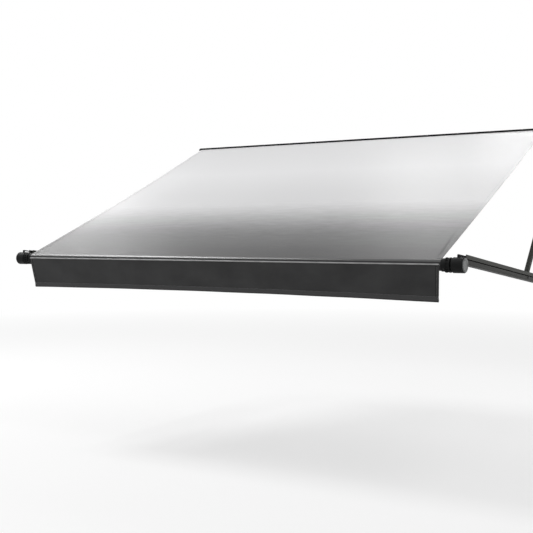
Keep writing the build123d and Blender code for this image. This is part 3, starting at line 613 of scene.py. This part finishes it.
def fade_cloth(name, stops, roughness, shown_width, shown_length, uneven, gloss=0.3):
    """Coated cloth: a printed fade down the sheet, streaks across it and a fine weave."""
    streaks_across, streaks_down = 5, 30         # per metre
    threads = 650
    streak_depth, thread_depth = 0.0001, 0.00005
    low_shares, high_shares = (0.74, 0.98), (1.26, 1.012)     # in the dark part and the pale one
    pale_from, pale_to = 0.15, 0.45
    blue_share = 1.01
    material, tree, shader = new_finish(name, grey(0.6), roughness, gloss=gloss)
    flat, across, up = flat_place(tree)
    ramp = wire(tree, "ShaderNodeValToRGB", [("Fac", up)])
    ramp.color_ramp.interpolation = "LINEAR"
    while len(ramp.color_ramp.elements) < len(stops):
        ramp.color_ramp.elements.new(0.5)
    for element, (place, level) in zip(ramp.color_ramp.elements, stops):
        element.position = place
        element.color = (level, level, blue_share * level, 1)
    streak = flat_pattern(
        tree,
        "ShaderNodeTexNoise",
        flat,
        streaks_across * shown_width,
        streaks_down * shown_length,
        [("Detail", 6), ("Roughness", 0.7)],
    )
    weave = flat_pattern(
        tree, "ShaderNodeTexChecker", flat, threads * shown_width, threads * shown_length
    )
    pale_part = spread(tree, up, 0, 1, pale_from, pale_to)
    low = blend_colours(tree, pale_part, *[grey(share) for share in low_shares])
    high = blend_colours(tree, pale_part, *[grey(share) for share in high_shares])
    shade = blend_colours(tree, spread(tree, streak, 0, 1), low, high)
    body = blend_colours(tree, 1.0, ramp.outputs["Color"], shade, "MULTIPLY")
    rough = spread(tree, streak, roughness - uneven, roughness + uneven)
    raised = raise_surface(tree, streak, streak_depth)
    raised = raise_surface(tree, weave, thread_depth, raised)
    join_shader(tree, shader, body, raised, rough)
    return material, tree, shader, body, across, up


# Each stop: its share of the way up from the roller, and its grey.
fade_stops = (
    (0.0, 0.045),
    (0.05, 0.059),
    (0.1, 0.088),
    (0.15, 0.114),
    (0.2, 0.164),
    (0.25, 0.255),
    (0.3, 0.348),
    (0.35, 0.455),
    (0.4, 0.54),
    (0.5, 0.55),
    (0.7, 0.6),
    (0.9, 0.545),
    (1.0, 0.53),
)
canopy_vinyl, tree, shader, body, across, up = fade_cloth(
    "fading canopy cloth",
    fade_stops,
    roughness=0.45,
    shown_width=2 * canopy_half,
    shown_length=canopy_run,
    uneven=0.05,
)
# Painted shade: the crease's line is coloured darker, fading out up the sheet.
from_edge = calc(tree, "MULTIPLY_ADD", across, -2 * canopy_half, 2 * canopy_half - crease_start)
off_crease = calc(tree, "ABSOLUTE", calc(tree, "MULTIPLY_ADD", up, -crease_spread, from_edge))
beside = spread(tree, off_crease, 1, 0, 0, crease_half_width)
fading = spread(tree, up, 1, 0, crease_top - crease_fall, crease_top)
body = blend_colours(tree, calc(tree, "MULTIPLY", beside, fading), body, crease_painted_shade)
tree.links.new(body, shader.inputs["Base Color"])

canopy = laid_grid(
    "canopy_sheet",
    2 * canopy_half,
    canopy_run,
    canopy_columns,
    canopy_rows,
    (0, -canopy_run / 2),
)
creased_share = creased_width / (2 * canopy_half)
coarse_share = coarse_columns / canopy_columns
for point in canopy.data.vertices:
    part = point.co.x / (2 * canopy_half) + 0.5
    if part < coarse_share:
        part *= (1 - creased_share) / coarse_share
    else:
        part = 1 - (1 - part) / (1 - coarse_share) * creased_share
    point.co.x = (part - 0.5) * 2 * canopy_half
make_up(canopy, canopy_half, canopy_run, on_canopy, canopy_vinyl, cloth)


# Canopy hems: each side edge of the canopy runs in a strip of the same cloth, folded round it
# and sewn through all layers with one row of grey thread.
def fold_strip(strip, edge, width, gap, sign):
    """Folds a flat strip, drawn over x from -1/2 to 1/2, round the cloth's edge on one side."""
    for point in strip.data.vertices:
        part = 2 * point.co.x
        turn = math.pi / 2 * min(max(part / 0.5, -1), 1)
        flat_part = max(abs(part) - 0.5, 0) * 2 * width
        point.co.x = sign * (edge + gap * math.cos(turn) - flat_part)
        point.co.z = -sign * gap * math.sin(turn)
    strip.data.update()


def shift_flat(piece, x, y, z=0.0):
    """Moves a flat piece in its pattern before it is hung."""
    piece.data.transform(Matrix.Translation((x, y, z)))


stitch_pitch = 0.006
stitch_length = 0.0042
stitch_width = 0.0009
stitch_height = 0.6 * stitch_width
stitch_top_shares = (0.5, 0.7, 1)
top_facing = 0.9


def sew_row(name, run):
    """A row of stitches down Y, each a small lozenge of thread that lies on the cloth."""
    bpy.ops.object.select_all(action="DESELECT")
    bpy.ops.mesh.primitive_cube_add(size=1)
    thread = bpy.context.object
    thread.name = thread.data.name = name
    thread.scale = (stitch_width, stitch_length, stitch_height)
    thread.location = (0, -stitch_pitch / 2, stitch_height / 2)
    bpy.ops.object.transform_apply(location=True, scale=True)
    bpy.ops.object.mode_set(mode="EDIT")
    bpy.ops.mesh.select_all(action="DESELECT")
    bpy.ops.object.mode_set(mode="OBJECT")
    for face in thread.data.polygons:
        face.select = face.normal.z > top_facing
    bpy.ops.object.mode_set(mode="EDIT")
    bpy.ops.transform.resize(value=stitch_top_shares)
    bpy.ops.object.mode_set(mode="OBJECT")
    add_modifier(
        thread,
        "ARRAY",
        count=int(run / stitch_pitch),
        use_relative_offset=False,
        use_constant_offset=True,
        constant_offset_displace=(0, -stitch_pitch, 0),
    )
    return thread


def sew_through(piece, lift):
    """Lifts a row of stitches onto the cloth and repeats it, turned over, on the back."""
    shift_flat(piece, 0, 0, lift)
    back = piece.data.copy()
    middle = sum(point.co.x for point in back.vertices) / len(back.vertices)
    turned = Matrix.Translation((middle, 0, 0)) @ Matrix.Rotation(math.pi, 4, "Y")
    back.transform(turned @ Matrix.Translation((-middle, 0, 0)))
    below = bpy.data.objects.new(piece.name + "_back", back)
    scene.collection.objects.link(below)
    pick(below, piece)
    bpy.ops.object.join()


thread_grey = moulded_finish("grey sewing thread", grey(0.2), roughness=0.6, grain=3000)
hem_cloth = 0.0006
hem_clearance = 0.0001
hem_gap = cloth / 2 + hem_clearance + hem_cloth / 2
hem_start = 0.012
hem_columns = 16


def sew_side_hems(name, half_width, length, width, run, rows, seam, placer, material):
    """Both side hems of a cloth and their stitches, the seam inside each hem's inner edge."""
    made = []
    for side, sign in (("left", -1), ("right", 1)):
        middle = (0, -hem_start - run / 2)
        hem = laid_grid(name + "_" + side + "_hem", 1, run, hem_columns, rows, middle)
        fold_strip(hem, half_width, width, hem_gap, sign)
        make_up(hem, half_width, length, placer, material, hem_cloth)
        stitches = sew_row(name + "_" + side + "_stitches", run)
        shift_flat(stitches, sign * (half_width - width + seam), -hem_start)
        sew_through(stitches, hem_gap + hem_cloth / 2)
        hang_cloth(stitches, placer, thread_grey)
        made += [hem, stitches]
    return made


canopy_extras = sew_side_hems(
    "canopy",
    canopy_half,
    canopy_run,
    width=0.036,
    run=canopy_run - 2 * hem_start,
    rows=canopy_rows,
    seam=0.005,
    placer=on_canopy,
    material=canopy_vinyl,
)
for piece in [canopy] + canopy_extras:
    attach(piece, "wall_side")
    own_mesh(piece)
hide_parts("canopy")


# Canopy on the roller: the last part turn of the same cloth. It lies on the tube and dips into
# the slot, where its welded bead holds it.
roller_axis = Vector((0, -2.505, -1.13))
wrap_radius = 0.0406
wrap_from = math.radians(113.42)
wrap_to = math.radians(150)
wrap_arc = wrap_radius * (wrap_to - wrap_from)
wrap_tab = 0.0033
wrap_run = wrap_arc + wrap_tab
wrap_columns, wrap_rows = 74, 24
wrap_stops = ((0.0, 0.036), (1.0, 0.048))


def on_wrap(across, down, lift):
    """Place on the roller of a point of the flat cloth that goes round it into the slot."""
    angle = wrap_from + min(down, wrap_arc) / wrap_radius
    bend = max(down - wrap_arc, 0)
    outward = Vector((0, math.cos(angle), math.sin(angle)))
    onward = Vector((0, -math.sin(angle), math.cos(angle)))
    place = roller_axis + Vector((across, 0, 0))
    if bend:
        return place + outward * (wrap_radius - bend) + onward * lift
    return place + outward * (wrap_radius + lift)


wrap_vinyl = fade_cloth(
    "canopy cloth on the roller",
    wrap_stops,
    roughness=0.3,
    shown_width=2 * canopy_half,
    shown_length=wrap_run,
    uneven=0.012,
    gloss=0.55,
)[0]
wrap = laid_grid(
    "canopy_on_roller", 2 * canopy_half, wrap_run, wrap_columns, wrap_rows, (0, -wrap_run / 2)
)
make_up(wrap, canopy_half, wrap_run, on_wrap, wrap_vinyl, cloth, use_even_offset=True)
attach(wrap, "roller")
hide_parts("canopy_wrap")


# Valance: a strip of charcoal coated cloth that hangs from its own slot in the roller and leans
# in towards the wall, with shallow waves that grow towards its hem. Side hems like the
# canopy's and a turned pocket along its lower edge are sewn with grey thread. The pocket's
# front band is painted paler as the light it catches, and its turned-under edge is painted
# darker as shade.
valance_half = 1.844
valance_run = 0.242
valance_tab = 0.0049
valance_corner = 0.0012
valance_line = Vector((0, -2.5472, -1.13))
valance_columns, valance_rows, tab_rows = 148, 28, 8
tab_end = 0.006
valance_lean = 0.048
valance_taper = 0.021
valance_rise = 0.018
edge_bow, edge_tilt, edge_lift = 0.0145, 0.0015, 0.007      # curve of the lower edge
wave_length = 0.74
wave_reach = 0.006
second_wave, second_rate, second_start = 0.0018, 11, 1.3
third_wave, third_rate = 0.0008, 29


def valance_middle(across, down):
    """The middle of the hung valance at a place of its flat cloth."""
    share = max(down, 0) / valance_run
    slant = math.hypot(down, valance_corner)
    inward = (slant - down) / 2
    part = across / valance_half
    fall = (slant + down) / 2
    fall += share * (edge_bow * part**2 + edge_tilt * part - edge_lift)
    wave = wave_reach * share * math.sin(2 * math.pi * (across + valance_half) / wave_length)
    wave += second_wave * share * math.sin(second_rate * across + second_start)
    wave += third_wave * share * math.sin(third_rate * across)
    return Vector(
        (
            across * (1 - share * valance_taper / valance_half),
            valance_line.y + inward + valance_lean * share + wave,
            valance_line.z - fall * (1 - valance_rise * share),
        )
    )


def on_valance(across, down, lift):
    """Place on the hung valance of a point of its flat cloth, lift towards the front."""
    least_lift, step = 1e-9, 0.0004
    middle = valance_middle(across, down)
    if abs(lift) < least_lift:
        return middle
    along = valance_middle(across, down + step) - middle
    beside = valance_middle(across + step, down) - middle
    return middle + along.cross(beside).normalized() * lift


valance_dark = (0.021, 0.021, 0.0215)
valance_pale = (0.04, 0.04, 0.0405)
seam_place, seam_reach = 0.4943, 0.0009      # shares of the width, from the middle
seam_dark = grey(0.012)
band_low, band_high = (0.03, 0.05), (0.152, 0.163)   # where it starts and ends, going up
hem_band_painted_light = (0.048, 0.048, 0.049)
turned_low = (0.02, 0.03)
turned_under_painted_shade = grey(0.014)
valance_smooth, valance_rough = 0.44, 0.58
cloud_depth, thread_depth = 0.0004, 0.00006
valance_cloth, tree, shader = new_finish(
    "charcoal valance cloth", (0.024, 0.024, 0.025), roughness=0.55, gloss=0.2
)
shader.inputs["Sheen Weight"].default_value = 0.12
shader.inputs["Sheen Roughness"].default_value = 0.4
flat, across, up = flat_place(tree)
cloudy = flat_pattern(
    tree, "ShaderNodeTexNoise", flat, across=14, down=1.3, feeds=[("Detail", 4)]
)
weave = flat_pattern(tree, "ShaderNodeTexChecker", flat, across=2400, down=157)
from_middle = calc(tree, "ABSOLUTE", calc(tree, "SUBTRACT", across, 0.5))
side_seam = calc(tree, "COMPARE", from_middle, seam_place, seam_reach)
band_start = spread(tree, up, 0, 1, *band_low)
band_end = spread(tree, up, 1, 0, *band_high)
hem_band = calc(tree, "MULTIPLY", band_start, band_end)
turned_under = spread(tree, up, 1, 0, *turned_low)
body = blend_colours(tree, spread(tree, cloudy, 0, 1), valance_dark, valance_pale)
body = blend_colours(tree, side_seam, body, seam_dark)
# Painted light: the pocket's upward-facing band is coloured paler.
body = blend_colours(tree, hem_band, body, hem_band_painted_light)
# Painted shade: the turned-under lower edge is coloured darker.
body = blend_colours(tree, turned_under, body, turned_under_painted_shade)
raised = raise_surface(tree, cloudy, cloud_depth)
raised = raise_surface(tree, weave, thread_depth, raised)
rough = spread(tree, cloudy, valance_smooth, valance_rough)
join_shader(tree, shader, body, raised, rough)

valance = laid_grid(
    "valance_sheet", 2 * valance_half, 1, valance_columns, valance_rows, (0, -0.5)
)
for point in valance.data.vertices:
    row = -point.co.y * valance_rows
    if row < tab_rows:
        point.co.y = valance_tab - row / tab_rows * (valance_tab + tab_end)
    else:
        share = (row - tab_rows) / (valance_rows - tab_rows)
        point.co.y = -tab_end - share * (valance_run - tab_end)
make_up(valance, valance_half, valance_run, on_valance, valance_cloth, cloth)
valance_extras = sew_side_hems(
    "valance",
    valance_half,
    valance_run,
    width=0.02,
    run=0.189,
    rows=20,
    seam=0.004,
    placer=on_valance,
    material=valance_cloth,
)

# Each row of the pocket's front: how far down the cloth it lies, and how far off its middle.
pocket_front = (
    (0.2025, 0.0010),
    (0.2055, 0.0013),
    (0.2140, 0.0018),
    (0.2190, 0.0027),
    (0.2240, 0.0045),
    (0.2290, 0.0059),
    (0.2340, 0.0064),
    (0.2382, 0.0054),
    (0.2412, 0.0031),
    (0.2426, 0.0),
)
pocket_rows = list(pocket_front) + [(down, -lift) for down, lift in reversed(pocket_front[:-1])]
pocket_steps = len(pocket_rows) - 1
pocket = laid_grid(
    "valance_bottom_hem", 2 * valance_half, 1, valance_columns, pocket_steps, (0, -0.5)
)
for point in pocket.data.vertices:
    down, lift = pocket_rows[round(-point.co.y * pocket_steps)]
    point.co.y, point.co.z = -down, lift
make_up(pocket, valance_half, valance_run, on_valance, valance_cloth, hem_cloth)
pocket_seam, pocket_seam_lift = 0.2052, 0.0016
hem_stitches = sew_row("valance_hem_stitches", 2 * valance_half)
hem_stitches.data.transform(Matrix.Rotation(math.pi / 2, 4, "Z"))
shift_flat(hem_stitches, -valance_half, -pocket_seam)
sew_through(hem_stitches, pocket_seam_lift)
hang_cloth(hem_stitches, on_valance, thread_grey)
valance_extras += [pocket, hem_stitches]

for piece in [valance] + valance_extras:
    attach(piece, "roller")
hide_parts("valance")


# Welt: a round pale vinyl piping, extruded, and sewn into the fold of the valance to cover its
# slot. Its ends are closed and rounded.
welt_radius = 0.0045
welt_end_round = 0.0042
welt_line = Vector((0, -2.5497, -1.1255))
bpy.ops.object.select_all(action="DESELECT")
bpy.ops.mesh.primitive_cylinder_add(
    vertices=20,
    radius=welt_radius,
    depth=2 * valance_half,
    rotation=(0, math.pi / 2, 0),
    location=welt_line,
)
welt = bpy.context.object
welt.name = welt.data.name = "valance_welt"
bpy.ops.object.transform_apply(location=True, rotation=True)
add_modifier(
    welt, "BEVEL", width=welt_end_round, segments=5, limit_method="ANGLE", angle_limit=1.0
)
smooth(welt, angle=60)
welt_vinyl = moulded_finish("pale welt", grey(0.29), roughness=0.34, grain=500)
welt.data.materials.append(welt_vinyl)
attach(welt, "roller")
